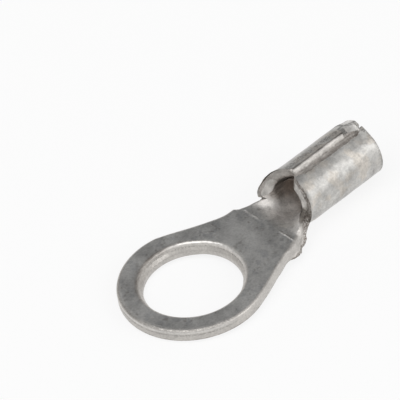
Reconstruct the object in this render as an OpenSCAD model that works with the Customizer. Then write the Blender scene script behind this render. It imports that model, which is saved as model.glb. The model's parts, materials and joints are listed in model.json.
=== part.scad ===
// Uninsulated ring terminal, stamped and rolled from one piece of tinned copper sheet.
// The origin is the centre of the stud hole on the underside of the tongue.
// +X runs from the stud hole to the mouth of the wire barrel, and +Z points up through
// the hole, on the side where the barrel's seam lies.

/* [Tongue] */
// Diameter of the stud hole at its narrowest, a clear fit on a 5 mm stud
stud_hole_d = 5.4; // [4.3:0.1:5.5]
// Height of the narrow land at the bottom of the stud hole
hole_land = 0.3; // [0.2:0.05:0.4]
// How far the punched wall leans back above the land
hole_flare = 0.17; // [0.05:0.01:0.25]
// Rounding that the punch leaves round the top of the hole
hole_rim = 0.14; // [0.06:0.02:0.18]
// Outside diameter of the ring
ring_d = 8.15; // [7.8:0.05:9.5]
// Thickness of the sheet
sheet_t = 0.75; // [0.65:0.05:0.85]
// Rounding of the ring's outer edges, top and bottom
ring_edge = 0.16; // [0.06:0.02:0.2]
// Distance from the hole's centre to the press line where the sheet starts to roll
crease_x = 5.5; // [5.2:0.1:6.5]
// Width of the neck, measured along the sheet where its taper ends
neck_w = 3.8; // [2.8:0.1:4]
// How far the neck lies to the left of the ring's middle; less than nothing is to the right
neck_shift = -0.15; // [-0.2:0.05:0]

/* [Throat] */
// Length of the throat, from the press line to where its left side is rolled full round
throat_l = 1.8; // [1.6:0.1:2.6]
// How much further back the right side is rolled full round
roll_lag = 0.4; // [0:0.05:0.5]
// How late the roll comes along the throat: 1 is even, more keeps the trough open for longer
roll_late = 1.5; // [1:0.1:2]
// Length over which the underside drops from the tongue's level to the barrel's
drop_l = 2.6; // [2.3:0.1:3.2]
// How far the barrel's underside lies below the underside of the tongue
barrel_drop = 0.57; // [0.2:0.01:0.7]

/* [Barrel] */
// Outside diameter of the wire barrel
barrel_d = 3.25; // [3.1:0.05:3.8]
// Length of the barrel where it is straight, from the end of the drop to the mouth
barrel_l = 4.8; // [3.5:0.05:6]
// Length of the left wing's leaning front edge
left_front_l = 1.3; // [1:0.05:1.5]
// Length of the right wing's leaning front edge
right_front_l = 0.5; // [0.4:0.05:0.8]
// How far the right wing reaches in front of the left one at the seam
right_lead = 0.4; // [0.2:0.05:0.6]
// Width of the butted seam between the wings' edges
seam_gap = 0.08; // [0.05:0.01:0.2]
// Sideways distance from the middle of the barrel to the seam
seam_offset = 0.4; // [0:0.05:0.45]
// Rounding of the wings' upper corners along the seam
seam_corner = 0.25; // [0.1:0.05:0.35]

/* [Mouth] */
// Rounding of the barrel's outer edge at the mouth
mouth_edge = 0.14; // [0.06:0.02:0.2]
// Width of the bell inside the mouth that guides the strands in
bell_w = 0.3; // [0.1:0.05:0.4]
// Depth of the bell
bell_depth = 0.5; // [0.3:0.05:0.8]
// Length of the bevel on the wings' corners at the mouth
bevel_l = 1.1; // [0.6:0.1:1.5]
// Width of each wing's bevel where it starts, from the seam outwards
bevel_w = 0.6; // [0.3:0.05:0.8]
// Angle at which the bevel falls towards the seam
bevel_tilt = 22; // [10:1:30]
// Angle at which the bevel falls towards the mouth
bevel_pitch = 7; // [2:1:12]

/* [Hidden] */
$fn = 96;

// A cut that goes through a face passes it by this much
past = 1;
// The throat's sheet is pressed this much thinner on each side than the sheet it joins
press_skin = 0.02;
// How far the throat's sheet reaches into the tongue and into the barrel's wall
seat = 0.25;
// Steps along the throat, and across the sheet from edge to edge
throat_steps = 26;
width_steps = 36;
// Steps in each rounded corner
corner_steps = 3;
// The neck's sides start this far inside the ring's edge, so that they cross it
tuck = 0.02;
// A rounding cut starts this far outside the face that it rounds, so that it crosses the face
stand_off = 0.005;

ring_r = ring_d / 2;
hole_r = stud_hole_d / 2;
barrel_r = barrel_d / 2;
bore_r = barrel_r - sheet_t;
// The sheet keeps its length halfway through its thickness
roll_r = barrel_r - sheet_t / 2;
barrel_x = crease_x + max(drop_l, throat_l + roll_lag);
barrel_axis_z = barrel_r - barrel_drop;
mouth_x = barrel_x + barrel_l;

// Both sides of the sheet are written alike: side is 1 on the left and -1 on the right.
// The neck's sides are straight lines tangent to the ring. They run on past the press line,
// over this share of the throat, and narrow less from there to the wings, at this slope.
taper_share = 0.22;
waist_slope = -0.15;
neck_x = crease_x + taper_share * throat_l;

// Half-width of the neck on one side, where its taper ends
function neck_half(side) = neck_w / 2 + side * neck_shift;

// Where the ring's edge meets the side of the neck, in the mirror image for the right one
function tangent_angle(side) =
    atan2(neck_half(side), neck_x) + acos(ring_r / norm([neck_x, neck_half(side)]));
function tangent_point(side) = (ring_r - tuck) * [cos(tangent_angle(side)), sin(tangent_angle(side))];
function neck_slope(side) =
    let (start = tangent_point(side))
    (neck_half(side) - start.y) / (neck_x - start.x);

// Half-width of the flat blank at a place along the neck
function blank_half(side, x) =
    neck_half(side) + (x < neck_x ? neck_slope(side) : waist_slope) * (x - neck_x);

// The front edge of each wing, as shares of its length and of the way from the neck's side to
// the seam. The left one ends in a rounded ear and leans back; the right one stands up steeply.
left_front = [[0, 0], [0.06, 0.18], [0.35, 0.37], [0.77, 0.64], [0.88, 0.71], [0.96, 0.85], [1, 1]];
right_front = [[0, 0], [0.2, 0.3], [0.33, 0.54], [0.52, 0.89], [1, 1]];
left_front_x = barrel_x - left_front_l;
right_front_x = barrel_x - right_lead - right_front_l;

// Share of the way from the neck's side to the seam that the wing reaches at x
function wing_share(side, x) = side > 0 ?
    lookup((x - left_front_x) / left_front_l, left_front) :
    lookup((x - right_front_x) / right_front_l, right_front);

// Half-width of the sheet out to the seam's slit, where its edge stands upright
function seam_s(side, lift) =
    let (y = seam_gap / 2 - side * seam_offset)
    (180 - asin(y / (roll_r - lift))) * roll_r * PI / 180;

// Half-width of the sheet on one side, with the wing
function sheet_half(side, x, lift) =
    let (neck = blank_half(side, x))
    neck + wing_share(side, x) * (seam_s(side, lift) - neck);

// Share of the drop reached at x: 0 at the press line, 1 at the barrel, with no kink at either end
function dropped(x) = (1 - cos(180 * max(0, min(1, (x - crease_x) / drop_l)))) / 2;

// Share of the roll reached at a point of the sheet, which comes later on the right
function rolled(x, s) =
    let (reach = throat_l + (s < 0 ? roll_lag : 0))
    ((1 - cos(180 * max(0, min(1, (x - crease_x) / reach)))) / 2) ^ roll_late;

// A point of the rolled sheet: x along it, s across it, and lift above its middle layer
function on_sheet(x, s, lift) =
    let (roll = rolled(x, s))
    let (middle_z = sheet_t / 2 - barrel_drop * dropped(x))
    roll < 0.001 ? [x, s, middle_z + lift] :
    let (r = roll_r / roll)
    let (turn = s / r * 180 / PI)
    [x, (r - lift) * sin(turn), middle_z + r - (r - lift) * cos(turn)];

// Quarter-round corner from [r, 0] to [0, r], as the points of its arc
function corner_arc(r, steps) = [for (i = [0:steps]) r * [cos(90 * i / steps), sin(90 * i / steps)]];

// Points across one face of the sheet at one station, from its right edge to its left
function across(x, lift) =
    let (left = sheet_half(1, x, lift) - press_skin)
    let (right = press_skin - sheet_half(-1, x, lift))
    [for (j = [0:width_steps]) on_sheet(x, right + (left - right) * j / width_steps, lift)];

// Outline of the cross-section at one station, over the sheet and back under it
function section(x) =
    let (lift = sheet_t / 2 - press_skin)
    let (under = across(x, -lift))
    concat(across(x, lift), [for (j = [width_steps:-1:0]) under[j]]);

// The sheet where it turns from a flat tongue into a trough, and then into the two wings that
// close over the barrel
module throat() {
    stations = concat(
        [crease_x - seat],
        [for (i = [0:throat_steps]) crease_x + (barrel_x - crease_x) * i / throat_steps],
        [barrel_x + seat]
    );
    count = 2 * (width_steps + 1);
    last = len(stations) - 1;
    points = [for (x = stations) each section(x)];
    sides = [for (i = [0:last - 1], j = [0:count - 1], half = [0, 1])
        let (a = i * count + j, b = i * count + (j + 1) % count)
            half == 0 ? [a, b, b + count] : [a, b + count, a + count]];
    front = [for (j = [0:width_steps - 1]) [count - 1 - j, count - 2 - j, j + 1, j]];
    back = [for (quad = front) [for (k = [3:-1:0]) last * count + quad[k]]];
    polyhedron(points, concat(front, back, sides), convexity = 6);
}

// Section of the waste outside a rounded corner, whose faces lie at x = 0 and y = 0
module corner_waste(round) {
    polygon(concat(
        [for (p = corner_arc(round, corner_steps)) [p.x - round + stand_off, p.y - round + stand_off]],
        [[stand_off - round, past], [past, past], [past, stand_off - round]]
    ));
}

// Stud hole: a straight land, a leaning wall above it and the punch's rounded rim
module stud_hole() {
    wall_r = hole_r + hole_flare;
    wall_top = sheet_t - hole_rim;
    rotate_extrude()
        polygon(concat(
            [[0, -past], [hole_r, -past], [hole_r, hole_land]],
            [for (p = corner_arc(hole_rim, corner_steps)) [wall_r + hole_rim - p.x, wall_top + p.y]],
            [[wall_r + hole_rim, sheet_t + past], [0, sheet_t + past]]
        ));
}

// Rounds one edge of the neck's side, in the mirror image for the right one: a straight run of
// the corner from the ring to the press line
module side_cutter(side) {
    start = tangent_point(side);
    run = norm([crease_x, blank_half(side, crease_x)] - start);
    translate(start)
        rotate([90, 0, 90 + atan(neck_slope(side))])
            linear_extrude(run + past)
                corner_waste(ring_edge);
}

// Rounding of the tongue's upper outline, round the ring and along both sides of the neck
module outline_cutter() {
    rotate([0, 0, tangent_angle(1)])
        rotate_extrude(angle = 360 - tangent_angle(1) - tangent_angle(-1))
            translate([ring_r, 0])
                corner_waste(ring_edge);
    side_cutter(1);
    mirror([0, 1, 0])
        side_cutter(-1);
}

// Flat tongue: the ring and the neck that narrows from it to the press line
module tongue() {
    left = tangent_point(1);
    right = tangent_point(-1);
    difference() {
        union() {
            cylinder(r = ring_r, h = sheet_t);
            linear_extrude(sheet_t)
                polygon([
                    left,
                    [crease_x, blank_half(1, crease_x)],
                    [crease_x, -blank_half(-1, crease_x)],
                    [right.x, -right.y]
                ]);
        }
        stud_hole();
        translate([0, 0, sheet_t])
            outline_cutter();
        mirror([0, 0, 1])
            outline_cutter();
    }
}

// Wall of the barrel in section, from its front to its mouth, with the bell inside the mouth
module barrel_wall() {
    arc = corner_arc(mouth_edge, corner_steps);
    rotate([0, 90, 0])
        rotate_extrude()
            polygon(concat(
                [[bore_r, barrel_x], [barrel_r, barrel_x]],
                [for (p = arc) [barrel_r - mouth_edge + p.x, mouth_x - mouth_edge + p.y]],
                [[bore_r + bell_w, mouth_x], [bore_r, mouth_x - bell_depth]]
            ));
}

// Groove between the wings: a narrow slit with rounded shoulders
module seam_groove() {
    arc = corner_arc(seam_corner, corner_steps);
    half_gap = seam_gap / 2;
    shoulder_y = half_gap + seam_corner;
    shoulder_z = barrel_r - seam_corner;
    translate([barrel_x - past, -seam_offset, 0])
        rotate([90, 0, 90])
            linear_extrude(barrel_l + 2 * past)
                polygon(concat(
                    [[-half_gap, 0], [half_gap, 0]],
                    [for (p = arc) [shoulder_y - p.x, shoulder_z + p.y]],
                    [[shoulder_y, barrel_r + past], [-shoulder_y, barrel_r + past]],
                    [for (i = [corner_steps:-1:0]) [arc[i].x - shoulder_y, shoulder_z + arc[i].y]]
                ));
}

// Waste above the bevels on the wings' corners at the mouth. Each bevel is a plane that
// starts level with the top of the barrel and falls towards the seam and the mouth.
module mouth_bevel() {
    for (wing = [0, 1])
        translate([mouth_x - bevel_l, -seam_offset, barrel_r])
            mirror([0, wing, 0])
                translate([0, bevel_w, 0])
                    rotate([bevel_tilt, bevel_pitch, 0])
                        translate([0, -bevel_w / cos(bevel_tilt), 0])
                            cube([bevel_l + past, bevel_w + past, past]);
}

module ring_terminal() {
    color([0.66, 0.65, 0.63])
        union() {
            tongue();
            difference() {
                union() {
                    throat();
                    translate([0, 0, barrel_axis_z])
                        barrel_wall();
                }
                translate([0, 0, barrel_axis_z]) {
                    seam_groove();
                    mouth_bevel();
                }
            }
        }
}

ring_terminal();
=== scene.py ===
"""Uninsulated ring terminal in dull tin plating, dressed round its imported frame.

The terminal is one stamped and rolled sheet. It is modelled here as it is made: the flat blank is laid
out first, with its cut edges, and a press then rolls it by the bending law of the frame's own solid. A
point of the flat blank is (x, s, lift): x along the terminal, s across the sheet, and lift above its
middle layer. All lengths are in millimetres until the finished mesh is scaled to metres.
"""

import json
import logging
import math
from dataclasses import dataclass, fields

import bpy
import numpy as np
from mathutils import Matrix, Vector


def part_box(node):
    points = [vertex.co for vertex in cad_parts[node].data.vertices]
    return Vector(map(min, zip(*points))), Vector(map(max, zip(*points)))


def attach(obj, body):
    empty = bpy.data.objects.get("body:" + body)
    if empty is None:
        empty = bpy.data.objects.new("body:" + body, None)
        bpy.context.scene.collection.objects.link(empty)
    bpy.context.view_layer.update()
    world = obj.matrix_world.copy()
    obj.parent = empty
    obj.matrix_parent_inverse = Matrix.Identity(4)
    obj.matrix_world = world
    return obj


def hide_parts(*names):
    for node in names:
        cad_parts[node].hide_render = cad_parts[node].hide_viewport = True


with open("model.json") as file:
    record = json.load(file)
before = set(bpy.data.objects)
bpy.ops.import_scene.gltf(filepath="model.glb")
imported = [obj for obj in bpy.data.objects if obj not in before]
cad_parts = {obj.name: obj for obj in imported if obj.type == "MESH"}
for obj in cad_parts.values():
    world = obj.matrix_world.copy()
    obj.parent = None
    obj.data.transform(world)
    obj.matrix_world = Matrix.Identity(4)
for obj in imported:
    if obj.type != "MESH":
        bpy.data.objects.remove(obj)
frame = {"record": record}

log = logging.getLogger("ring_terminal")

Array = np.ndarray
Socket = bpy.types.NodeSocket
Colour = tuple[float, float, float]
Span = tuple[float, float, float, float]
Wire = Socket | float | tuple[float, ...]

MM = 0.001
NODE = "ring_terminal"


def smooth(value: Array, low: float, high: float) -> Array:
    """Rises from 0 at low to 1 at high with no kink at either end.

    Args:
        value: Where to read it.
        low: Place where the rise starts.
        high: Place where it ends.

    Returns:
        The share at each place.
    """
    share = np.clip((value - low) / (high - low), 0.0, 1.0)
    return share * share * (3 - 2 * share)


def hump(value: Array, centre: float, spread: float) -> Array:
    """Bell curve of height 1 round centre."""
    return np.exp(-(((value - centre) / spread) ** 2))


def window(value: Array, span: Span) -> Array:
    """Rises to 1 between a span's first two places, and falls back between its last two."""
    return smooth(value, *span[:2]) * (1 - smooth(value, *span[2:]))


def eased(share: Array) -> Array:
    """Half a wave, from 0 where the share is 0 to 1 where it is 1."""
    return (1 - np.cos(math.pi * share)) / 2


def ripple(points: Array, wavelength: float, seed: int) -> Array:
    """Smooth unevenness made of crossing waves, the same in each run.

    Args:
        points: Rows of x, y, z.
        wavelength: Mean distance from crest to crest.
        seed: Picks the directions of the waves.

    Returns:
        One value a row, mostly between -1 and 1.
    """
    dice = np.random.default_rng(seed)
    waves = 9
    directions = dice.normal(size=(waves, 3))
    directions /= np.linalg.norm(directions, axis=1)[:, None]
    pitch = 2 * math.pi / wavelength * dice.uniform(0.6, 1.6, waves)
    phase = dice.uniform(0, 2 * math.pi, waves)
    return np.sin(points @ (directions * pitch[:, None]).T + phase).sum(axis=1) / math.sqrt(waves * 2)


def curve_through(knots: list[tuple[float, float]], count: int) -> Array:
    """Smooth curve through knots, cut into steps of equal length.

    Args:
        knots: Points that the curve passes through.
        count: Number of steps.

    Returns:
        count + 1 points, the first and the last knot included.
    """
    ring = np.array([knots[0], *knots, knots[-1]], float)
    fine = []
    for i in range(1, len(ring) - 2):
        before, start, end, after = ring[i - 1:i + 3]
        for t in np.linspace(0, 1, 24, endpoint=False):
            fine.append(0.5 * (
                2 * start + (end - before) * t
                + (2 * before - 5 * start + 4 * end - after) * t ** 2
                + (3 * start - before - 3 * end + after) * t ** 3
            ))
    fine.append(ring[-1])
    return in_steps(np.array(fine), count)


def in_steps(line: Array, count: int) -> Array:
    """Cuts a polyline into count steps of equal length.

    Args:
        line: Its points.
        count: Number of steps.

    Returns:
        count + 1 points.
    """
    along = np.concatenate([[0], np.cumsum(np.linalg.norm(np.diff(line, axis=0), axis=1))])
    places = np.linspace(0, along[-1], count + 1)
    return np.stack([np.interp(places, along, line[:, k]) for k in range(2)], axis=1)


@dataclass(frozen=True)
class Sizes:
    """Driving sizes of the terminal, most of them read from the frame's box and mounts.

    Attributes:
        ring_r: Radius of the ring.
        hole_r: Radius of the stud hole, at its straight land.
        hole_land: Height of the land.
        sheet_t: Thickness of the sheet.
        barrel_r: Radius of the barrel's outside.
        axis_z: Height of its axis.
        mouth_x: Where its mouth is.
        crease_x: Where the press line is.
        seam_y: Where the seam's slit is.
        hole_rim: Rounding of the hole's top rim.
        hole_lip: Rounding of its bottom rim.
        hole_lean: How much wider the hole is above its land.
    """

    ring_r: float
    hole_r: float
    hole_land: float
    sheet_t: float
    barrel_r: float
    axis_z: float
    mouth_x: float
    crease_x: float = 5.5
    seam_y: float = -0.42
    hole_rim: float = 0.18
    hole_lip: float = 0.05
    hole_lean: float = 0.17

    @classmethod
    def from_frame(cls) -> "Sizes":
        """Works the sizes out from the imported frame.

        Returns:
            The sizes, in millimetres.
        """
        low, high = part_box(NODE)
        mounts = {mount["name"]: mount["dims"] for mount in frame["record"]["mounts"]}
        barrel_r = (high.z - low.z) / MM / 2
        return cls(
            ring_r=-low.x / MM,
            hole_r=mounts["stud_hole"]["r_mm"],
            hole_land=mounts["stud_hole"]["length_mm"],
            sheet_t=barrel_r - mounts["wire_barrel"]["r_mm"],
            barrel_r=barrel_r,
            axis_z=low.z / MM + barrel_r,
            mouth_x=high.x / MM,
        )

    @property
    def roll_r(self) -> float:
        """Radius at which the rolled sheet keeps its length."""
        return self.barrel_r - self.half_t

    @property
    def half_t(self) -> float:
        """Half of the sheet's thickness."""
        return self.sheet_t / 2

    @property
    def drop(self) -> float:
        """How far the barrel's underside lies below the tongue's."""
        return self.barrel_r - self.axis_z


@dataclass(frozen=True)
class Press:
    """Rolls the flat blank by the bending law, and stamps the corners of the mouth.

    Attributes:
        sizes: The terminal's driving sizes.
        drop_l: Length over which the underside drops.
        roll_l: Length over which the left side rolls full round.
        roll_lag: How much longer the right side takes.
        roll_late: Power that makes the roll start late.
        flare: How far the left ear stands out.
        flare_x: Where it stands out most.
        flare_reach: How far along the wing it spreads.
        flare_s: Where across the sheet it lies.
        proud: How far the left wing stands out of the barrel's circle.
        upturn: How far the near neck's edge is turned up.
        upturn_x: Where it is turned up most.
        facet_l: Length of the left wing's facet at the mouth.
        facet_y: How far across the barrel it reaches.
        facet_slope: How steeply it falls towards the seam.
        facet_rise: How steeply its outer half rises to the mouth.
        facet_step: Length of the step at its inner end.
        curl_y: Where the right wing's corner is curled.
        curl_out: How far the curl moves towards the seam.
        curl_up: How far it stands up.
    """

    sizes: Sizes
    drop_l: float = 2.6
    roll_l: float = 1.8
    roll_lag: float = 0.4
    roll_late: float = 1.5
    flare: float = 0.04
    flare_x: float = 6.9
    flare_reach: float = 0.75
    flare_s: Span = (1.3, 2.1, 2.6, 3.9)
    proud: float = 0.13
    upturn: float = 0.10
    upturn_x: float = 6.35
    facet_l: float = 1.12
    facet_y: float = 0.66
    facet_slope: float = 0.45
    facet_rise: float = 0.14
    facet_step: float = 0.10
    curl_y: Span = (-1.1, -0.5, -0.40, -0.36)
    curl_out: float = 0.22
    curl_up: float = 0.13

    def dropped(self, x: Array) -> Array:
        """Share of the drop at x: 0 at the press line and 1 under the barrel."""
        return eased(np.clip((x - self.sizes.crease_x) / self.drop_l, 0, 1))

    def rolled(self, x: Array, s: Array) -> Array:
        """Share of the roll at a point: it starts later than the drop, and ends later on the right."""
        share = np.clip((x - self.sizes.crease_x) / (self.roll_l + self.roll_lag * (s < 0)), 0, 1)
        return eased(share) ** self.roll_late

    def flared(self, x: Array, s: Array) -> Array:
        """How far the left wing and its ear stand out, and the right neck's edge stands in.

        Args:
            x: Places along the terminal.
            s: Places across the sheet.

        Returns:
            The distance from the roll's circle, outwards.
        """
        mouth_x = self.sizes.mouth_x
        spread = hump(np.maximum(x, self.flare_x), self.flare_x, self.flare_reach)
        ear = self.flare * window(s, self.flare_s) * spread
        tucked = 1 - 0.8 * smooth(x, mouth_x - 0.7, mouth_x)
        settled = 1 - 0.4 * smooth(s, 3.2, 3.7)
        wing = self.proud * smooth(s, 1.6, 2.7) * smooth(x, 6.6, 7.6) * tucked * settled
        neck = self.upturn * smooth(-s, 1.35, 1.80) * hump(x, self.upturn_x, 0.36)
        return ear + wing - neck

    def roll(self, flat: Array) -> Array:
        """Moves points of the flat blank to their places on the rolled terminal.

        Args:
            flat: Rows of x, s, lift.

        Returns:
            Rows of x, y, z.
        """
        x, s, lift = flat.T
        sizes = self.sizes
        middle_z = sizes.half_t - sizes.drop * self.dropped(x)
        radius = sizes.roll_r / np.maximum(self.rolled(x, s), 1e-4)
        turn = s / radius
        reach = radius - lift + self.flared(x, s)
        y = reach * np.sin(turn)
        z = middle_z + radius - reach * np.cos(turn)
        return np.stack([x, y, z], axis=1)

    def stamp(self, points: Array) -> Array:
        """Presses the facet onto the left wing's corner at the mouth, and curls the right wing's up.

        Args:
            points: Rolled points.

        Returns:
            The points, moved.
        """
        x, y, z = points.T
        sizes = self.sizes
        top = sizes.axis_z + sizes.barrel_r
        along = x - (sizes.mouth_x - self.facet_l)
        fall = self.facet_slope * np.maximum(self.facet_y - y, 0)
        shelf = top - 0.01 - fall + self.facet_rise * np.maximum(along - 0.5, 0)
        clear = top + 1
        plane = clear - (clear - shelf) * smooth(along, 0, self.facet_step)
        left = (y > sizes.seam_y) & (y < 1.2) & (along > 0) & (z > plane) & (z > sizes.axis_z + 0.9)
        z = np.where(left, plane, z)
        curl = smooth(x, sizes.mouth_x - 0.6, sizes.mouth_x - 0.15) * smooth(z, top - 0.95, top - 0.2)
        curl *= window(y, self.curl_y)
        return np.stack([x, y + self.curl_out * curl, z + self.curl_up * curl], axis=1)


Along = float | list[tuple[float, float]]


@dataclass
class Edge:
    """A stretch of the blank's outline, with the form of its cut edge.

    Each form is one value, or pairs of a share of the stretch and the value there. The first value
    also holds before its place, and the last one after.

    Attributes:
        points: Places on the outline, at the middle of the sheet's thickness.
        lean_top: How far the edge stands out at the top face.
        lean_bottom: How far it stands out at the underside.
        round_top: Rounding at the top face.
        round_bottom: Rounding at the underside.
        rough: Height of the cut's unevenness.
        torn: Share of the thickness, from the underside, where the metal tore and wasn't sheared.
        clean: Share of the thickness, from the underside, that stayed clean below the torn part.
        facet: 0 where the lean bows through the roundings too, 1 where it is flat between them.
        grime: How dark the torn part is.
    """

    points: Array
    lean_top: Along = 0.0
    lean_bottom: Along = 0.0
    round_top: Along = 0.1
    round_bottom: Along = 0.1
    rough: Along = 0.006
    torn: Along = 0.0
    clean: Along = -1.0
    facet: Along = 0.0
    grime: Along = 1.0

    def form(self, name: str) -> Array:
        """Reads one form at each of the stretch's points but the last.

        Args:
            name: Which form.

        Returns:
            Its values.
        """
        count = len(self.points) - 1
        value = getattr(self, name)
        if isinstance(value, float):
            return np.full(count, value)
        places, values = zip(*value)
        return np.interp(np.arange(count) / count, places, values)


class Blank:
    """The flat blank: its outline, cut edges and faces, before the press rolls it."""

    ring_steps = 240
    neck_steps = 44
    throat_steps = 34
    front_steps = 56
    seam_steps = 110
    across_steps = 44
    round_steps = 6
    wall_steps = 14
    tongue_rows = 14
    hole_steps = 6
    land_steps = 3
    left_back = 0.54
    right_back = 0.02
    forms = tuple(field.name for field in fields(Edge) if field.name != "points")

    def __init__(self, sizes: Sizes) -> None:
        """Lays the outline out."""
        self.sizes = sizes
        self.edges = self._edges()

    def corners(self) -> Array:
        """Number of the outline's point at which each stretch ends."""
        return np.cumsum([len(edge.points) - 1 for edge in self.edges])

    def across(self, right: Array, left: Array) -> Array:
        """Straight line of points across the sheet."""
        return np.linspace(right, left, self.across_steps + 1)

    def round_tongue(self, side: Array) -> Array:
        """Closes the tongue's outline along the press line, from the right end of its side to the left."""
        return np.concatenate([side, self.across(side[-1], side[0])[1:-1]])

    def _seam_s(self, back: float, side: int) -> float:
        """Place across the sheet of the seam's edge on one side, whose middle stands back from the slit."""
        roll_r = self.sizes.roll_r
        return side * math.pi * roll_r - roll_r * math.asin((self.sizes.seam_y + side * back) / roll_r)

    def _edges(self) -> list[Edge]:
        """Lists the stretches of the outline, from the left wing's mouth corner round to the mouth.

        Returns:
            The stretches in order. Each ends where the next starts.
        """
        sizes = self.sizes
        crease = sizes.crease_x
        left_s = self._seam_s(self.left_back, 1)
        right_s = self._seam_s(self.right_back, -1)
        left_front = [(8.0, left_s), (7.96, 3.66), (7.93, 3.58), (7.88, 3.5), (7.76, 3.32), (7.56, 3.04),
                      (7.25, 2.6), (7.05, 2.3), (6.88, 2.1), (6.79, 1.9), (6.81, 1.78), (6.88, 1.68)]
        left_neck = [(6.88, 1.68), (6.6, 1.69), (6.3, 1.75), (5.97, 1.85), (crease, 2.06)]
        right_neck = [(crease, -2.42), (5.75, -2.3), (6.0, -2.2), (6.25, -2.1), (6.4, -2.02), (6.7, -1.84),
                      (7.0, -1.69), (7.25, -1.62)]
        right_front = [(7.25, -1.62), (7.28, -1.9), (7.28, -2.3), (7.36, -2.7), (7.4, -3.0),
                       (7.45, -3.3), (7.66, right_s - 0.22)]
        right_seam = [right_front[-1], (8.0, right_s - 0.12), (8.5, right_s - 0.01), (9.2, right_s),
                      (sizes.mouth_x, right_s)]
        right_mouth = (sizes.mouth_x, right_s)
        left_seam = [(sizes.mouth_x, left_s + 0.15), (12.6, left_s + 0.11), (12.2, left_s + 0.02),
                     (11.8, left_s), left_front[0]]
        return [
            Edge(curve_through(left_seam, self.seam_steps),
                 lean_top=[(0.9, 0.49), (1, 0.20)], lean_bottom=-0.10, facet=1.0,
                 round_top=0.05, round_bottom=0.39, rough=0.010, torn=1.0,
                 clean=[(0.225, 0.24), (0.245, 0.43)], grime=0.55),
            Edge(curve_through(left_front, self.front_steps),
                 lean_top=[(0.1, -0.40), (0.35, -0.36), (0.6, -0.34), (0.85, -0.24), (0.95, 0)],
                 round_top=[(0.6, 0.05), (0.8, 0.08)],
                 round_bottom=[(0, 0.30), (0.08, 0.12), (0.3, 0.07), (0.6, 0.10), (0.8, 0.1), (1, 0.06)],
                 rough=[(0, 0.006), (0.6, 0.008), (0.75, 0.02)],
                 torn=[(0.35, 1.1), (0.55, 0.35), (0.62, 0.3), (0.75, 0.45), (1, 0.4)],
                 grime=[(0, 0.34), (0.35, 0.24), (0.6, 0.5), (1, 0.4)]),
            Edge(curve_through(left_neck, self.throat_steps),
                 round_top=0.12, round_bottom=0.12, rough=0.012, torn=0.4),
            Edge(self.tongue_line(),
                 lean_top=[(0.96, 0), (0.98, -0.12), (1, -0.15)],
                 lean_bottom=[(0.962, 0), (0.975, 0.2), (0.99, 0.28)],
                 round_top=0.16, round_bottom=0.16,
                 rough=[(0.04, 0.012), (0.08, 0.003), (0.95, 0.003), (0.97, 0.014)],
                 torn=[(0, 0.4), (0.1, 0.2), (0.95, 0.2), (1, 0.25)]),
            Edge(curve_through(right_neck, self.throat_steps),
                 lean_top=[(0, -0.15), (0.28, -0.2), (0.48, 0)],
                 lean_bottom=[(0, 0.28), (0.15, 0.12), (0.3, 0.2), (0.42, 0.2), (0.5, 0.05), (1, 0)],
                 round_top=0.1, round_bottom=[(0, 0.12), (1, 0.05)],
                 rough=[(0, 0.014), (0.5, 0.02), (1, 0.040)],
                 torn=[(0, 0.2), (0.35, 0.35), (0.5, 0.66), (1, 0.70)]),
            Edge(curve_through(right_front, self.front_steps),
                 lean_top=[(0, 0), (0.3, 0.13), (0.85, 0.13), (1, 0)],
                 lean_bottom=[(0.3, 0), (0.45, -0.13), (0.8, -0.13), (1, -0.04)], facet=1.0,
                 round_top=0.06, round_bottom=[(0, 0.05), (0.3, 0.1), (1, 0.12)],
                 rough=[(0, 0.040), (0.25, 0.034), (1, 0.024)],
                 torn=[(0, 0.70), (0.12, 0.62), (0.26, 0.50), (0.5, 0.42), (1, 0.4)],
                 grime=[(0, 0.7), (0.2, 0.8), (1, 0.75)]),
            Edge(curve_through(right_seam, self.seam_steps),
                 lean_top=-0.209, lean_bottom=0.09, round_top=0.05, round_bottom=0.05, rough=0.018,
                 torn=0.9, grime=0.8),
            Edge(in_steps(np.array([right_mouth, left_seam[0]]), 2 * self.front_steps + self.across_steps),
                 lean_top=-0.28, round_top=0.06, rough=0.004, grime=0.85,
                 torn=[(0.78, 0.26), (0.86, 0.05)],
                 round_bottom=[(0, 0.12), (0.84, 0.14), (0.97, 0.06)]),
        ]

    def tongue_line(self) -> Array:
        """Outline of the tongue, from the press line on the left round the ring to the right.

        Returns:
            Its points.
        """
        sizes = self.sizes
        crease = sizes.crease_x
        left = [(crease, 2.06), (5.38, 2.18), (5.24, 2.32), (5.0, 2.33), (4.7, 2.35), (4.29, 2.45),
                (3.79, 2.66), (3.25, 2.89), (2.5, 3.24), (1.74, 3.61)]
        leave = math.radians(76)
        meet = math.radians(-71)
        left.append((sizes.ring_r * math.cos(leave), sizes.ring_r * math.sin(leave)))
        angles = np.linspace(leave, 2 * math.pi + meet, self.ring_steps)
        ring = np.stack([np.cos(angles), np.sin(angles)], axis=1) * sizes.ring_r
        right = [tuple(ring[-1]), (2.3, -3.5), (3.33, -3.06), (3.88, -2.86), (4.45, -2.62), (4.9, -2.56),
                 (5.2, -2.5), (crease, -2.42)]
        start = curve_through(left, 2 * self.neck_steps)
        end = curve_through(right, 2 * self.neck_steps)
        return np.concatenate([start, ring[1:-1], end])

    def _outline(self) -> dict[str, Array]:
        """Joins the stretches into one closed outline.

        Returns:
            Arrays with one row an outline point: point, normal, and the form of the edge there.
        """
        joined = {name: np.concatenate([edge.form(name) for edge in self.edges]) for name in self.forms}
        for name in ("round_top", "round_bottom"):
            joined[name] = self._evened(joined[name])
        point = np.concatenate([edge.points[:-1] for edge in self.edges])
        ahead = np.roll(point, -1, axis=0) - point
        ahead /= np.linalg.norm(ahead, axis=1)[:, None]
        area = 0.5 * np.sum(point[:, 0] * np.roll(point[:, 1], -1) - point[:, 1] * np.roll(point[:, 0], -1))
        normal = np.stack([ahead[:, 1], -ahead[:, 0]], axis=1) * (1 if area > 0 else -1)
        joined.update(point=point, normal=normal)
        return joined

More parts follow.
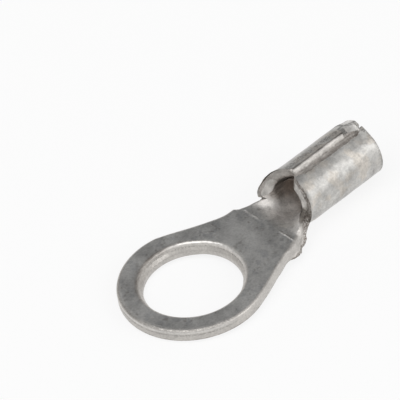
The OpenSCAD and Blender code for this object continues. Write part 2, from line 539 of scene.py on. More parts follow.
    @staticmethod
    def _evened(values: Array) -> Array:
        """Softens the steps between neighbouring stretches of the outline."""
        for _ in range(2):
            values = (np.roll(values, 1) + 2 * values + np.roll(values, -1)) / 4
        return values

    def edge_strip(self) -> tuple[Array, Array]:
        """Form of the cut edge all round the outline, from the top face to the underside.

        Returns:
            Outline points by profile steps by x, s, lift, and how torn the metal is at each.
        """
        shape = self._outline()
        half_t = self.sizes.half_t
        quarter = np.linspace(0, math.pi / 2, self.round_steps + 1)
        wall = np.linspace(0, 1, self.wall_steps + 2)[1:-1]
        form = {name: shape[name][:, None] for name in self.forms}
        straight = 2 * half_t - form["round_top"] - form["round_bottom"]
        lift = np.concatenate([
            half_t - form["round_top"] * (1 - np.cos(quarter)),
            half_t - form["round_top"] - straight * wall,
            -half_t + form["round_bottom"] * (1 - np.sin(quarter)),
        ], axis=1)
        inset = np.concatenate([
            form["round_top"] * (1 - np.sin(quarter)),
            np.zeros((len(lift), self.wall_steps)),
            form["round_bottom"] * (1 - np.cos(quarter)),
        ], axis=1)
        share = lift / half_t
        rounding = np.where(lift > 0, form["round_top"], form["round_bottom"])
        wall_share = np.clip(np.abs(lift) / (half_t - rounding), 0, 1)
        bow = form["facet"] * wall_share + (1 - form["facet"]) * share ** 2
        lean = np.where(share > 0, form["lean_top"], form["lean_bottom"]) * bow
        height = (share + 1) / 2
        outline = np.repeat(shape["point"][:, None], lift.shape[1], axis=1)
        place = np.concatenate([outline, lift[:, :, None]], axis=2)
        coarse, fine = (ripple(place.reshape(-1, 3), pitch, 5).reshape(lift.shape) for pitch in (0.3, 0.13))
        uneven_height = height + 0.05 * coarse
        torn = 1 - smooth(uneven_height, form["torn"] - 0.1, form["torn"])
        torn *= smooth(uneven_height, form["clean"], form["clean"] + 0.1)
        uneven = form["rough"] * (0.3 + torn) * (0.6 * coarse + 0.7 * fine)
        place[:, :, :2] += self._offset(shape["normal"], lean - inset) + self._offset(shape["normal"], uneven)
        return place, torn * form["grime"]

    @staticmethod
    def _offset(normal: Array, out: Array) -> Array:
        """Moves each outline point out, so that both lines that meet there lie at their own distance.

        Args:
            normal: Normal of the line after each point.
            out: How far that line stands out, as outline points by profile steps.

        Returns:
            The moves in x and s.
        """
        before, after = np.roll(normal, 1, axis=0), normal
        turn = (before * after).sum(axis=1)
        mean = (np.roll(out, 1, axis=0) + out) / 2
        half_gap = (np.roll(out, 1, axis=0) - out) / 2
        move = mean[:, :, None] * ((before + after) / np.maximum(1 + turn, 0.5)[:, None])[:, None]
        corner = turn < 0.7
        across = (before - after)[corner] / (1 - turn[corner])[:, None]
        move[corner] += half_gap[corner][:, :, None] * across[:, None]
        return move


@dataclass
class Patch:
    """A rectangular piece of the sheet, as rows by columns of flat points.

    Attributes:
        flat: Rows by columns by x, s, lift.
        cut: 0 on the sheet's faces, 1 on its cut edges, for each point.
        torn: 1 where the metal tore, 0 where it was sheared or rolled, for each point.
        closed: Whether the last column meets the first.
    """

    flat: Array
    cut: Array
    torn: Array
    closed: bool = False

    @classmethod
    def face(cls, flat: Array, closed: bool = False) -> "Patch":
        """Makes a piece of one of the sheet's faces, neither cut nor torn."""
        return cls(flat, np.zeros(flat.shape[:2]), np.zeros(flat.shape[:2]), closed)


def coons(first: Array, last: Array, left: Array, right: Array) -> Array:
    """Fills the space between four curves that meet at their ends.

    Args:
        first: First row, from left to right.
        last: Last row, from left to right.
        left: Left column, from first to last.
        right: Right column, from first to last.

    Returns:
        Rows by columns of points.
    """
    v = np.linspace(0, 1, len(left))[:, None, None]
    u = np.linspace(0, 1, len(first))[None, :, None]
    ruled = (1 - v) * first[None] + v * last[None]
    across = (1 - u) * left[:, None] + u * right[:, None]
    corners = ((1 - v) * (1 - u) * first[0] + (1 - v) * u * first[-1]
               + v * (1 - u) * last[0] + v * u * last[-1])
    return ruled + across - corners


@dataclass(frozen=True)
class Places:
    """Places on the flat blank, one for each point of a patch.

    Attributes:
        x: Along the terminal.
        s: Across the sheet.
        share: Lift over half the sheet's thickness: 1 on the top face, and -1 on the underside, which
            is the barrel's outside.
        radius: Distance from the centre of the stud hole.
        angle: Direction from there, in radians from x.
    """

    x: Array
    s: Array
    share: Array
    radius: Array
    angle: Array

    @classmethod
    def of(cls, flat: Array, half_t: float) -> "Places":
        """Reads the places of flat points."""
        x, s, lift = flat.T
        return cls(x, s, lift / half_t, np.hypot(x, s), np.arctan2(s, x))

    def facing(self, direction: float, low: float, high: float) -> Array:
        """Rises to 1 near a direction from the hole, between two cosines of the angle to it."""
        return smooth(np.cos(self.angle - direction), low, high)


@dataclass(frozen=True)
class Marks:
    """Where pressing marked the tin, and where light and shade are painted on it, by place on the flat blank.

    Attributes:
        sizes: The terminal's driving sizes.
        ridge: Height of the press line's ridge.
        ridge_w: Its width.
        far_ridge: Where across the sheet it lies on the far side.
        near_ridge: Where it lies on the near side.
        back_line: Height of the line round the barrel's back.
        back_line_x: Where it lies.
        uneven: How uneven the rolled sheet is.
        rim_r: Middle of the hole's rim, from its land.
        worn_rim: Direction in which the hole's rim gets a painted highlight.
        dull_rim: Direction in which the top face round the hole gets painted shade.
        dark_rim: Direction in which the hole's wall gets a painted dark line.
        worn_edge: Direction in which the ring's edge gets a painted highlight.
        dark_edge: Direction in which the ring's edge gets painted dark lines.
        fold_x: Where the throat's near fold gets a painted highlight.
        band_s: Where the painted dark band beside the seam lies.
        band_x: Where it starts and ends.
        border_s: Where the painted dark border of the mouth's facet lies.
        ear_x: Where the left ear's top face gets painted shade.
    """

    sizes: Sizes
    ridge: float = 0.045
    ridge_w: float = 0.035
    far_ridge: Span = (0.5, 0.7, 1.6, 1.75)
    near_ridge: Span = (0.9, 1.15, 2.0, 2.3)
    back_line: float = 0.010
    back_line_x: float = 10.0
    uneven: float = 0.007
    rim_r: float = 0.27
    worn_rim: float = 0.4
    dull_rim: float = 1.9
    dark_rim: float = 0.6
    worn_edge: float = 3.35
    dark_edge: float = 3.45
    fold_x: Span = (5.7, 6.1, 6.9, 7.3)
    band_s: Span = (3.26, 3.48, 3.56, 3.72)
    band_x: Span = (7.4, 8.2, 11.70, 11.80)
    border_s: Span = (2.6, 2.85, 3.15, 3.30)
    ear_x: Span = (6.84, 7.04, 7.5, 8.3)

    def press_line(self, at: Places) -> Array:
        """Height, about 1, of the thin ridge that the press left on both sides of the tongue."""
        sides = 1.3 * window(at.s, self.far_ridge) + window(-at.s, self.near_ridge)
        return hump(at.x, self.sizes.crease_x, self.ridge_w) * sides

    def relief(self, flat: Array, at: Places) -> Array:
        """Adds the marks of the press to the sheet's faces.

        The press line stands up as a thin ridge on both sides of the tongue, a faint line runs
        round the back of the barrel, and the rolled sheet is a little uneven.

        Args:
            flat: Flat points.
            at: Their places.

        Returns:
            The points, with their lift changed.
        """
        x, s, lift = flat.T
        ridge = self.ridge * self.press_line(at)
        line = self.back_line * hump(x, self.back_line_x, 0.05) * (1 - smooth(np.abs(s + 0.5), 1.7, 2.2))
        uneven = self.uneven * ripple(flat, 1.6, 11) * smooth(x, 6.0, 8.0)
        lifted = lift + np.maximum(at.share, 0) * ridge + np.maximum(-at.share, 0) * line + uneven
        return np.stack([x, s, lifted], axis=1)

    def worn(self, at: Places) -> Array:
        """Painted highlights on the press line, the hole's rim, the ring's edge and the throat's near fold,
        and a polished patch on the mouth's facet.

        Args:
            at: Where to read it.

        Returns:
            0 where it is as plated, and 1 where it is bright.
        """
        x, s, share, radius = at.x, at.s, at.share, at.radius
        sizes = self.sizes
        # Painted highlights: the press line, the rim and the ring's edge on the side facing the light, and
        # the near fold.
        rim = hump(radius, sizes.hole_r + self.rim_r, 0.10) * at.facing(self.worn_rim, 0.45, 0.85)
        roll_over = hump(radius, sizes.ring_r - 0.20, 0.06) * (share > 0.9)
        outer = hump(share, 0.60, 0.12) * (radius > sizes.ring_r - 0.2)
        edge = at.facing(self.worn_edge, 0.2, 0.7) * (roll_over + outer) * (x < 5.4)
        fold = hump(x + 0.9 * s, 5.2, 0.22) * window(x, self.fold_x)
        # A polished patch on the mouth's facet.
        facet = smooth(x - 1.3 * np.abs(s - 3.50), 12.00, 12.25) * smooth(s, 3.1, 3.25) * (share < 0.3)
        top_face = self.press_line(at) + 0.8 * rim + 0.9 * fold
        return np.clip(top_face * (share > 0.5) + 0.6 * edge + 0.9 * facet, 0, 1)

    def scuffed(self, at: Places) -> Array:
        """Painted shade: dark bands beside the seam, along the mouth's facet and silhouette and at the right
        wing's curl, and dark lines on the ring's edge and in the hole's wall.

        Args:
            at: Where to read it.

        Returns:
            0 where no shade is painted, and 1 where it is darkest.
        """
        x, s, share, radius = at.x, at.s, at.share, at.radius
        sizes = self.sizes
        mouth_x = sizes.mouth_x
        outside = smooth(-share, 0.4, 0.8)
        # Painted shade beside the seam, at the mouth, on the ring's edge and in the hole's wall.
        band = window(s, self.band_s) * window(x, self.band_x)
        border = smooth(x, 11.9, 12.4) * window(s, self.border_s)
        silhouette = 0.7 * smooth(x, mouth_x - 0.22, mouth_x - 0.14) * (1 - smooth(s, 1.5, 2.5))
        curl = smooth(-s, 3.26, 3.36) * smooth(x, mouth_x - 0.34, mouth_x - 0.22)
        lines = hump(share, 0.92, 0.06) + hump(share, 0.20, 0.10)
        lines = lines * at.facing(self.dark_edge, 0.2, 0.7) * (radius > sizes.ring_r - 0.17) * (x < 2)
        wall = hump(share, 0.40, 0.09) * at.facing(self.dark_rim, 0.2, 0.6) * (radius < sizes.hole_r + 0.25)
        darkest = [outside * mark for mark in (band, border, silhouette, curl)]
        return np.clip(np.maximum.reduce([*darkest, lines, wall]), 0, 1)

    def dull(self, at: Places, upper: Array) -> Array:
        """Painted shade, as dark and dull as torn metal, on the top face at the left ear and at the far rim
        of the hole.

        Args:
            at: Where to read it.
            upper: 1 on the top face and 0 elsewhere.

        Returns:
            0 where nothing is painted, and 1 where it is as dark and dull as torn metal.
        """
        ear = 0.64 * smooth(at.s, 1.3, 1.75) * window(at.x, self.ear_x) * upper
        rim = hump(at.radius, self.sizes.hole_r + self.rim_r + 0.04, 0.13)
        return ear + 0.58 * rim * at.facing(self.dull_rim, 0.35, 0.75) * (at.share > 0.5)


class Terminal:
    """The terminal itself: the blank's faces and edges, rolled, joined and dressed."""

    def __init__(self, sizes: Sizes) -> None:
        """Prepares the blank, the press and the marks.

        Args:
            sizes: The terminal's driving sizes.
        """
        self.sizes = sizes
        self.blank = Blank(sizes)
        self.press = Press(sizes)
        self.marks = Marks(sizes)

    def patches(self) -> list[Patch]:
        """Lays out the faces and the cut edges of the flat blank.

        Returns:
            The patches, whose borders share their points.
        """
        strip, torn = self.blank.edge_strip()
        wall = np.zeros(torn.shape)
        wall[:, 1:-1] = 1
        hole = self._hole_strip()
        return [
            Patch(strip.transpose(1, 0, 2), wall.T, torn.T, closed=True),
            hole,
            *self._faces(strip[:, 0], hole.flat[0]),
            *self._faces(strip[:, -1], hole.flat[-1]),
        ]

    def _hole_strip(self) -> Patch:
        """Wall of the stud hole, from its rounded rim down to its land and the underside.

        Returns:
            The patch, one column for each point of the tongue's border.
        """
        sizes = self.sizes
        half_t, rim, lip, land = sizes.half_t, sizes.hole_rim, sizes.hole_lip, sizes.hole_land
        blank = self.blank
        border = blank.round_tongue(blank.tongue_line())
        angles = np.arctan2(border[:, 1], border[:, 0])
        quarter = np.linspace(0, math.pi / 2, blank.hole_steps + 1)
        wall_r = sizes.hole_r + sizes.hole_lean
        radius = np.concatenate([
            wall_r + rim * (1 - np.sin(quarter)),
            np.linspace(wall_r, sizes.hole_r, blank.hole_steps + 1)[1:-1],
            np.full(blank.land_steps, sizes.hole_r),
            sizes.hole_r + lip * (1 - np.cos(quarter)),
        ])[:, None]
        lift = np.concatenate([
            half_t - rim * (1 - np.cos(quarter)),
            np.linspace(half_t - rim, land - half_t, blank.hole_steps + 1)[1:-1],
            np.linspace(land - half_t, lip - half_t, blank.land_steps + 1)[:-1],
            -half_t + lip * (1 - np.sin(quarter)),
        ])[:, None]
        flat = np.stack([radius * np.cos(angles), radius * np.sin(angles),
                         np.repeat(lift, len(angles), axis=1)], axis=2)
        cut = np.ones(flat.shape[:2])
        cut[0] = cut[-1] = 0
        return Patch(flat, cut, np.zeros(cut.shape), closed=True)

    def _faces(self, ring: Array, rim: Array) -> list[Patch]:
        """Fills one face of the sheet between its outline and the hole.

        Args:
            ring: Outline of the face, with its lift.
            rim: Edge of the face round the hole.

        Returns:
            The patches of the tongue, the throat and the barrel.
        """
        blank = self.blank
        (front_left, crotch_left, press_left, press_right,
         crotch_right, front_right, mouth_right, _) = blank.corners()
        share = np.linspace(0, 1, blank.tongue_rows + 1)[:, None, None]
        share = (share + eased(share)) / 2
        tongue = rim * (1 - share) + blank.round_tongue(ring[press_left:press_right + 1]) * share
        press_line = blank.across(ring[press_right], ring[press_left])
        crotch_line = blank.across(ring[crotch_right], ring[crotch_left])
        throat = coons(press_line, crotch_line, ring[press_right:crotch_right + 1],
                       ring[crotch_left:press_left + 1][::-1])
        front_line = np.concatenate([
            ring[crotch_right:front_right + 1][::-1],
            crotch_line[1:-1],
            ring[front_left:crotch_left + 1][::-1],
        ])
        mouth_line = np.concatenate([ring[mouth_right:], ring[:1]])
        barrel = coons(front_line, mouth_line, ring[front_right:mouth_right + 1],
                       ring[:front_left + 1][::-1])
        return [Patch.face(tongue, closed=True), Patch.face(throat), Patch.face(barrel)]

    def _sheet_of(self, patch: Patch) -> bpy.types.Object:
        """Makes one patch from a grid primitive, whose points are laid on the rolled sheet.

        Args:
            patch: The flat patch.

        Returns:
            Its object.
        """
        flat, cut, torn = patch.flat, patch.cut, patch.torn
        if patch.closed:
            flat, cut, torn = (np.concatenate([part, part[:, :1]], axis=1) for part in (flat, cut, torn))
        rows, columns = flat.shape[:2]
        flat = flat.reshape(-1, 3)
        at = Places.of(flat, self.sizes.half_t)
        bpy.ops.object.select_all(action="DESELECT")
        bpy.ops.mesh.primitive_grid_add(x_subdivisions=columns - 1, y_subdivisions=rows - 1, size=MM)
        sheet = bpy.context.object
        points = self.press.stamp(self.press.roll(self.marks.relief(flat, at)))
        sheet.data.vertices.foreach_set("co", (points * MM).astype(np.float32).ravel())
        self._mark(sheet, at, cut.ravel(), torn.ravel())
        return sheet

    def _mark(self, sheet: bpy.types.Object, at: Places, cut: Array, torn: Array) -> None:
        """Keeps with each point what the finish needs to know of it.

        Args:
            sheet: The patch's object.
            at: The places of its points.
            cut: 1 on the cut edges.
            torn: 1 where the metal tore.
        """
        crease = self.sizes.crease_x
        upper = np.clip(at.share, 0, 1) * (1 - cut)
        values = {
            "cut": cut,
            # The torn share also carries the painted shade at the left ear and round the hole's far rim.
            "torn": torn * cut + self.marks.dull(at, upper),
            "inside": smooth(at.x + 1.1 * smooth(at.s, 0.9, 1.9), 7.2, 9.4) * upper,
            "barrel": smooth(at.x, crease, crease + self.press.roll_l),
            # Painted shade.
            "scuffed": self.marks.scuffed(at),
            # Painted highlights, and polish on the mouth's facet.
            "worn": self.marks.worn(at),
            # Painted light that brightens the throat.
            "trough": smooth(at.x, 5.6, 6.6) * upper,
        }
        for name, value in values.items():
            layer = sheet.data.attributes.new(name, "FLOAT", "POINT")
            layer.data.foreach_set("value", value.astype(np.float32))

    def build(self) -> bpy.types.Object:
        """Makes the terminal's one mesh.

        Returns:
            The finished object, attached to the root body, with the frame's own part hidden.
        """
        sheets = [self._sheet_of(patch) for patch in self.patches()]
        bpy.ops.object.select_all(action="DESELECT")
        for sheet in sheets:
            sheet.select_set(True)
        terminal = sheets[0]
        bpy.context.view_layer.objects.active = terminal
        bpy.ops.object.join()
        terminal.name = terminal.data.name = "terminal"
        bpy.ops.object.mode_set(mode="EDIT")
        bpy.ops.mesh.select_all(action="SELECT")
        bpy.ops.mesh.remove_doubles(threshold=MM / 1000)
        bpy.ops.mesh.normals_make_consistent(inside=False)
        bpy.ops.object.mode_set(mode="OBJECT")
        bpy.ops.object.shade_smooth_by_angle(angle=math.radians(38))
        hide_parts(NODE)
        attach(terminal, "root")
        return terminal


class Wiring:
    """Adds and joins the nodes of a material or a world."""

    def __init__(self, owner: bpy.types.Material | bpy.types.World) -> None:
        """Turns the owner's nodes on."""
        owner.use_nodes = True
        self.nodes = owner.node_tree.nodes
        self.links = owner.node_tree.links

    def put(self, value: Wire, socket: Socket) -> None:
        """Joins a wire to a socket, or sets the socket to a number or a colour.

        Args:
            value: The wire, the number or the colour.
            socket: Where it goes.
        """
        if isinstance(value, Socket):
            self.links.new(value, socket)
        else:
            socket.default_value = value

    def add(self, kind: str, inputs: dict[str | int, Wire] | None = None, **settings: str) -> bpy.types.Node:
        """Adds one node.

        Args:
            kind: Its type, without the word ShaderNode.
            inputs: What each of its inputs is set to or joined to.
            settings: Its settings.

        Returns:
            The node.
        """
        node = self.nodes.new(f"ShaderNode{kind}")
        for name, value in settings.items():
            setattr(node, name, value)
        for name, value in (inputs or {}).items():
            self.put(value, node.inputs[name])
        return node

    def number(self, operation: str, first: Wire, second: Wire) -> Socket:
        """Works a number out of two."""
        return self.add("Math", {0: first, 1: second}, operation=operation).outputs[0]

    def times(self, first: Wire, second: Wire) -> Socket:
        """Multiplies two numbers."""
        return self.number("MULTIPLY", first, second)

    def rise(self, value: Wire, low: float, high: float, to_low: Wire = 0.0,
             to_high: Wire = 1.0) -> Socket:
        """Rises smoothly from to_low where the value is low, to to_high where it is high."""
        inputs = {"Value": value, "From Min": low, "From Max": high, "To Min": to_low, "To Max": to_high}
        return self.add("MapRange", inputs, interpolation_type="SMOOTHSTEP").outputs["Result"]

    def either(self, share: Wire, first: bpy.types.Node, second: bpy.types.Node) -> bpy.types.Node:
        """Mixes two shaders: the first where the share is 0, the second where it is 1."""
        return self.add("MixShader", {0: share, 1: first.outputs[0], 2: second.outputs[0]})


class Coat(Wiring):
    """Wires one metal finish on Object coordinates and the mesh's own attributes."""

    def __init__(self, material: bpy.types.Material) -> None:
        """Starts from the material's own shader."""
        super().__init__(material)
        self.shader = self.nodes["Principled BSDF"]
        place = self.add("TexCoord").outputs["Object"]
        self.millimetres = self.add("Mapping", {"Vector": place, "Scale": (1 / MM,) * 3}).outputs["Vector"]

    def attribute(self, name: str) -> Socket:
        """Reads a point attribute of the mesh."""
        return self.add("Attribute", attribute_name=name).outputs["Fac"]

    def noise(self, pitch: float, detail: float = 2.0, shift: float = 0.0,
              stretch: tuple[float, float, float] = (1, 1, 1)) -> Socket:
        """Cloudy noise of one size.

        Args:
            pitch: Mean size of a cloud, in millimetres.
            detail: Number of finer layers.
            shift: Moves the pattern, so that two of the same pitch differ.
            stretch: How much longer the clouds are along x, y and z.

        Returns:
            Its value, about 0.5 on average.
        """
        place = self.add("Mapping", {
            "Vector": self.millimetres,
            "Location": (shift, shift * 1.7, -shift),
            "Scale": tuple(1 / part for part in stretch),
        }).outputs["Vector"]
        return self.add("TexNoise", {"Scale": 1 / pitch, "Detail": detail, "Vector": place}).outputs["Fac"]

    def _mix(self, kind: str, share: Wire, first: Wire, second: Wire) -> Socket:
        """Mixes two values of one kind.

        Args:
            kind: Float or Color.
            share: How much of the second value there is.
            first: The value where the share is 0.
            second: The value where it is 1.

        Returns:
            The mixed value.
        """
        node = self.add("Mix", data_type={"Float": "FLOAT", "Color": "RGBA"}[kind])
        inputs = {socket.identifier: socket for socket in node.inputs}
        for name, value in (("Factor_Float", share), (f"A_{kind}", first), (f"B_{kind}", second)):
            self.put(value, inputs[name])
        return {socket.identifier: socket for socket in node.outputs}[f"Result_{kind}"]

    def blend(self, share: Wire, first: Wire, second: Wire) -> Socket:
        """Mixes two colours: the first where the share is 0, the second where it is 1."""
        colours = ((*value, 1) if isinstance(value, tuple) else value for value in (first, second))
        return self._mix("Color", share, *colours)

    def between(self, share: Wire, first: Wire, second: Wire) -> Socket:
        """Mixes two numbers: the first where the share is 0, the second where it is 1."""
        return self._mix("Float", share, first, second)

    def bumps(self, heights: list[tuple[Wire, float]]) -> None:
        """Joins bump layers to the shader.

        Args:
            heights: The layers, each a height from 0 to 1 and its depth in millimetres.
        """
        below = None
        for height, depth in heights:
            node = self.add("Bump", {"Strength": 1.0, "Distance": depth * MM, "Height": height})
            if below:
                self.links.new(below, node.inputs["Normal"])
            below = node.outputs["Normal"]
        self.links.new(below, self.shader.inputs["Normal"])


@dataclass(frozen=True)
class TinFinish:
    """Dull tin plating on copper, with what stamping and rolling left on it, and with painted highlights and
    shade.

    Attributes:
        flat: Tin on the flat tongue, cool grey.
        rolled: Tin on the rolled barrel.
        tarnish: Warm blotches on the barrel.
        bright: White of the painted highlights and glints, and of polished tin.
        sheared: Cut edges that the punch sheared.
        ragged: Cut edges that tore, thinly plated, and painted shade at the left ear and the hole's rim.
        rubbed: Paler tin colour that paints light into the throat.
        hollow: Tin inside the barrel, matte and brownish.
        speck: Pits and dirt in the plating, and the colour of painted shade.
        stained: Bluish stains on the tongue.
    """

    flat: Colour = (0.480, 0.475, 0.464)
    rolled: Colour = (0.520, 0.510, 0.490)
    tarnish: Colour = (0.540, 0.508, 0.465)
    bright: Colour = (0.800, 0.780, 0.750)
    sheared: Colour = (0.540, 0.518, 0.490)
    ragged: Colour = (0.225, 0.198, 0.178)
    rubbed: Colour = (0.700, 0.675, 0.650)
    hollow: Colour = (0.505, 0.435, 0.385)
    speck: Colour = (0.230, 0.218, 0.205)
    stained: Colour = (0.285, 0.290, 0.300)

    def material(self) -> bpy.types.Material:
        """Makes the material.

        Returns:
            The material, on Object coordinates and the mesh's own attributes.
        """
        material = bpy.data.materials.new("tin_plating")
        wire = Coat(material)
        names = ("cut", "torn", "inside", "barrel", "scuffed", "worn", "trough")
        cut, torn, inside, barrel, scuffed, worn, trough = (wire.attribute(name) for name in names)
        cloud = wire.noise(1.3, 3.0)
        grain = wire.noise(0.11, 3.0, 3.1)
        fine = wire.noise(0.045, 2.0, 7.3)
        clusters = wire.rise(wire.noise(1.1, 2.0, 11.0), 0.40, 0.58)
        pits = wire.rise(wire.noise(0.28, 1.6, 5.7), 0.53, 0.72)
        specks = wire.times(wire.times(pits, wire.between(barrel, clusters, 0.18)),
                            wire.between(cut, 0.62, 0.10))
        grit = wire.rise(wire.noise(0.09, 2.0, 2.2), 0.40, 0.58)
        streaks = wire.rise(wire.noise(0.10, 2.0, 17.0, (7, 1, 1)), 0.3, 0.7, 0.65, 1.35)
        blotch = wire.times(wire.rise(wire.noise(0.8, 3.0, 9.0), 0.48, 0.62), barrel)
        stain = wire.times(wire.rise(wire.noise(0.42, 3.5, 25.0), 0.48, 0.61),
                           wire.between(wire.number("MAXIMUM", barrel, cut), clusters, 0.25))
        loose = wire.rise(torn, 0.65, 0.95)
        # Torn metal, and painted shade where the torn share carries it.
        rag_and_shade = wire.times(torn, wire.between(loose, streaks, wire.rise(grit, 0.0, 1.0, 1.0, 0.35)))
        # Painted glints on the torn metal.
        painted_glint = wire.times(loose, wire.rise(wire.noise(0.11, 2.0, 40.0), 0.55, 0.63))
        # Painted shade, broken up by grit.
        grainy_shade = wire.times(scuffed, wire.rise(grit, 0.0, 1.0, 0.68, 0.10))
        # Real pits and the painted shade share one dark colour.
        dark = wire.number("MAXIMUM", specks, grainy_shade)

        colour = wire.blend(barrel, self.flat, self.rolled)
        # Painted light among these tints: a paler throat, white glints and highlights, and dark painted
        # shade; the rest is the tin's own colour.
        for share, tint in (
            (blotch, self.tarnish), (wire.times(stain, 0.42), self.stained), (cut, self.sheared),
            (trough, self.rubbed), (inside, self.hollow), (rag_and_shade, self.ragged),
            (wire.times(painted_glint, 0.7), self.bright), (dark, self.speck), (worn, self.bright),
        ):
            colour = wire.blend(share, colour, tint)
        patchy = wire.rise(wire.noise(0.45, 3.0, 31.0), 0.3, 0.7, -0.12, 0.12)
        tone = wire.rise(cloud, 0.3, 0.7, 0.88, 1.08)
        tone = wire.number("ADD", tone, wire.rise(grain, 0.3, 0.7, -0.09, 0.09))
        tone = wire.number("ADD", tone, wire.times(patchy, barrel))
        mottled = wire.add("VectorMath", {0: colour, "Scale": tone}, operation="SCALE")
        wire.put(mottled.outputs["Vector"], wire.shader.inputs["Base Color"])

        rough = wire.between(barrel, 0.50, 0.40)
        for share, value in ((cut, 0.42), (torn, 0.62), (trough, 0.64), (dark, 0.68), (worn, 0.36)):
            rough = wire.between(share, rough, value)
        rough = wire.number("ADD", rough, wire.rise(cloud, 0.3, 0.7, -0.04, 0.04))
        wire.put(rough, wire.shader.inputs["Roughness"])
        wire.put(1.0, wire.shader.inputs["Metallic"])
        grainy = wire.between(torn, wire.between(cut, 0.32, 0.16), 1.0)
        wire.bumps([
            (wire.noise(1.0, 2.0, 14.0), 0.045),
            (wire.noise(0.32, 2.0, 4.0), 0.016),
            (wire.times(grain, grainy), 0.030),
            (wire.times(fine, grainy), 0.010),
            (wire.times(dark, -1.0), 0.006),
        ])
        return material


@dataclass(frozen=True)
class Softbox:
    """A round soft lamp that faces the object.

    Attributes:
        name: What it is called.
        toward: Direction from the object to it.
        radiance: How bright its face is, where 1 is white.
        across: Its diameter in metres.
        away: Its distance from the object in metres.
    """

    name: str
    toward: tuple[float, float, float]
    radiance: float
    across: float
    away: float = 0.45

    def hang(self) -> None:
        """Adds the lamp to the scene."""
        data = bpy.data.lights.new(self.name, "AREA")
        data.shape = "DISK"
        data.size = self.across
        data.energy = self.radiance * math.pi * math.pi * (self.across / 2) ** 2
        lamp = bpy.data.objects.new(self.name, data)
        bpy.context.collection.objects.link(lamp)
        toward = Vector(self.toward).normalized()
        lamp.location = toward * self.away
        lamp.rotation_euler = toward.to_track_quat("Z", "Y").to_euler()


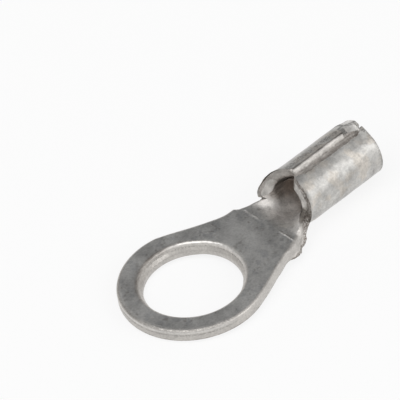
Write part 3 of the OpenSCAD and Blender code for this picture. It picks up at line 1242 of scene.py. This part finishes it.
@dataclass(frozen=True)
class Studio:
    """Floor, light and camera, as the photograph has them.

    Attributes:
        azimuth: Which way round the camera stands, in degrees.
        elevation: How high it looks from, in degrees.
        tilt: How far it is turned about its line of sight, in degrees.
        distance: Its distance from the stud hole, in millimetres.
        scale: Pixels to a millimetre there.
        origin_px: Where the stud hole lies in the picture.
        frame_px: Width of the picture.
        floor_size: Width of the floor, in metres.
        floor_gap: How far it lies under the terminal, in metres.
        floor_glow: Share of its white that the light doesn't change.
        horizon: Brightness of the surroundings near the floor.
        near_ceiling: Brightness above, on the camera's side.
        far_ceiling: Brightness above, on the far side.
        horizon_z: Where the horizon fades into the ceiling.
        ceiling_y: Where the near ceiling fades into the far one.
        lamps: The soft lamps.
    """

    azimuth: float = -36.621
    elevation: float = 41.209
    tilt: float = -10.313
    distance: float = 250.0
    scale: float = 18.808
    origin_px: tuple[float, float] = (193.739, 288.9)
    frame_px: int = 400
    floor_size: float = 6.0
    floor_gap: float = 0.00002
    floor_glow: float = 0.82
    horizon: float = 0.95
    near_ceiling: float = 0.62
    far_ceiling: float = 0.22
    horizon_z: tuple[float, float] = (0.18, 0.55)
    ceiling_y: tuple[float, float] = (-0.15, 0.40)
    lamps: tuple[Softbox, ...] = (
        Softbox("near_softbox", (0.36, -0.78, 0.51), 1.6, 0.30),
        Softbox("overhead_softbox", (-0.40, -0.12, 0.90), 1.6, 0.50),
    )

    def axes(self) -> tuple[Vector, Vector, Vector]:
        """Works out which way the camera looks.

        Returns:
            The camera's right, its up and the direction from the object back to it.
        """
        az, el, roll = (math.radians(a) for a in (self.azimuth, self.elevation, self.tilt))
        right = Vector((math.cos(az), math.sin(az), 0))
        back = Vector((math.sin(az) * math.cos(el), -math.cos(az) * math.cos(el), math.sin(el)))
        up = back.cross(right)
        return (
            math.cos(roll) * right + math.sin(roll) * up,
            math.cos(roll) * up - math.sin(roll) * right,
            back,
        )

    def place_camera(self) -> None:
        """Adds the camera where the photograph was taken from."""
        right, up, back = self.axes()
        across = (self.origin_px[0] - self.frame_px / 2) / self.scale
        above = (self.frame_px / 2 - self.origin_px[1]) / self.scale
        eye = (back * self.distance - right * across - up * above) * MM
        data = bpy.data.cameras.new("camera")
        camera = bpy.data.objects.new("camera", data)
        bpy.context.collection.objects.link(camera)
        turn = Matrix((right, up, back)).transposed().to_4x4()
        camera.matrix_world = Matrix.Translation(eye) @ turn
        data.lens = data.sensor_width * self.scale * self.distance / self.frame_px
        data.clip_start = 0.01
        data.clip_end = 50
        bpy.context.scene.camera = camera

    def lay_floor(self, sizes: Sizes, low_x: float) -> None:
        """Adds the white floor, tilted a little so that the ring and the barrel both rest on it.

        Args:
            sizes: The terminal's driving sizes.
            low_x: Where the barrel's underside starts.
        """
        slope = math.atan2(sizes.drop, low_x + sizes.ring_r)
        bpy.ops.object.select_all(action="DESELECT")
        bpy.ops.mesh.primitive_plane_add(size=self.floor_size)
        floor = bpy.context.object
        floor.name = floor.data.name = "floor"
        touch = Vector((-sizes.ring_r * MM, 0, 0))
        tip = Matrix.Rotation(slope, 4, "Y")
        floor.data.transform(Matrix.Translation(touch) @ tip @ Matrix.Translation((0, 0, -self.floor_gap)))
        floor.data.materials.append(self._floor_material())

    def _floor_material(self) -> bpy.types.Material:
        """Makes the floor's material.

        Returns:
            It is white to the camera and in the metal, has a soft shadow, and is clear from below.
        """
        material = bpy.data.materials.new("white_floor")
        wire = Wiring(material)
        wire.nodes.clear()
        path = wire.add("LightPath").outputs
        seen = wire.number("MAXIMUM", path["Is Camera Ray"], path["Is Glossy Ray"])
        seen = wire.number("MAXIMUM", seen, path["Is Transmission Ray"])
        paper = wire.add("BsdfDiffuse", {"Color": (0.9, 0.9, 0.9, 1)})
        glow = wire.add("Emission", {"Strength": 1.0})
        above = wire.either(wire.times(seen, self.floor_glow), paper, glow)
        below = wire.add("NewGeometry").outputs["Backfacing"]
        both = wire.either(below, above, wire.add("BsdfTransparent"))
        wire.add("OutputMaterial", {"Surface": both.outputs[0]})
        return material

    def light(self) -> None:
        """Adds the surroundings, white near the floor and grey above and behind, and the soft lamps."""
        world = bpy.data.worlds.new("studio")
        bpy.context.scene.world = world
        wire = Wiring(world)
        direction = wire.add("TexCoord").outputs["Generated"]
        parts = wire.add("SeparateXYZ", {0: direction}).outputs
        ceiling = wire.rise(parts["Y"], *self.ceiling_y, self.near_ceiling, self.far_ceiling)
        strength = wire.rise(parts["Z"], *self.horizon_z, self.horizon, ceiling)
        background = wire.nodes["Background"].inputs
        wire.put((1, 1, 1, 1), background["Color"])
        wire.put(strength, background["Strength"])
        for lamp in self.lamps:
            lamp.hang()


def main() -> None:
    """Builds the studio and the terminal."""
    logging.basicConfig(level=logging.INFO, format="%(name)s: %(message)s")
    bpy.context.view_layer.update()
    sizes = Sizes.from_frame()
    studio = Studio()
    studio.place_camera()
    part = Terminal(sizes)
    studio.lay_floor(sizes, sizes.crease_x + part.press.drop_l)
    studio.light()
    terminal = part.build()
    terminal.data.materials.clear()
    terminal.data.materials.append(TinFinish().material())
    mesh = terminal.data
    log.info("%s: %d points, %d faces", terminal.name, len(mesh.vertices), len(mesh.polygons))
    bpy.context.scene.view_settings.view_transform = "Standard"


if __name__ == "__main__":
    main()
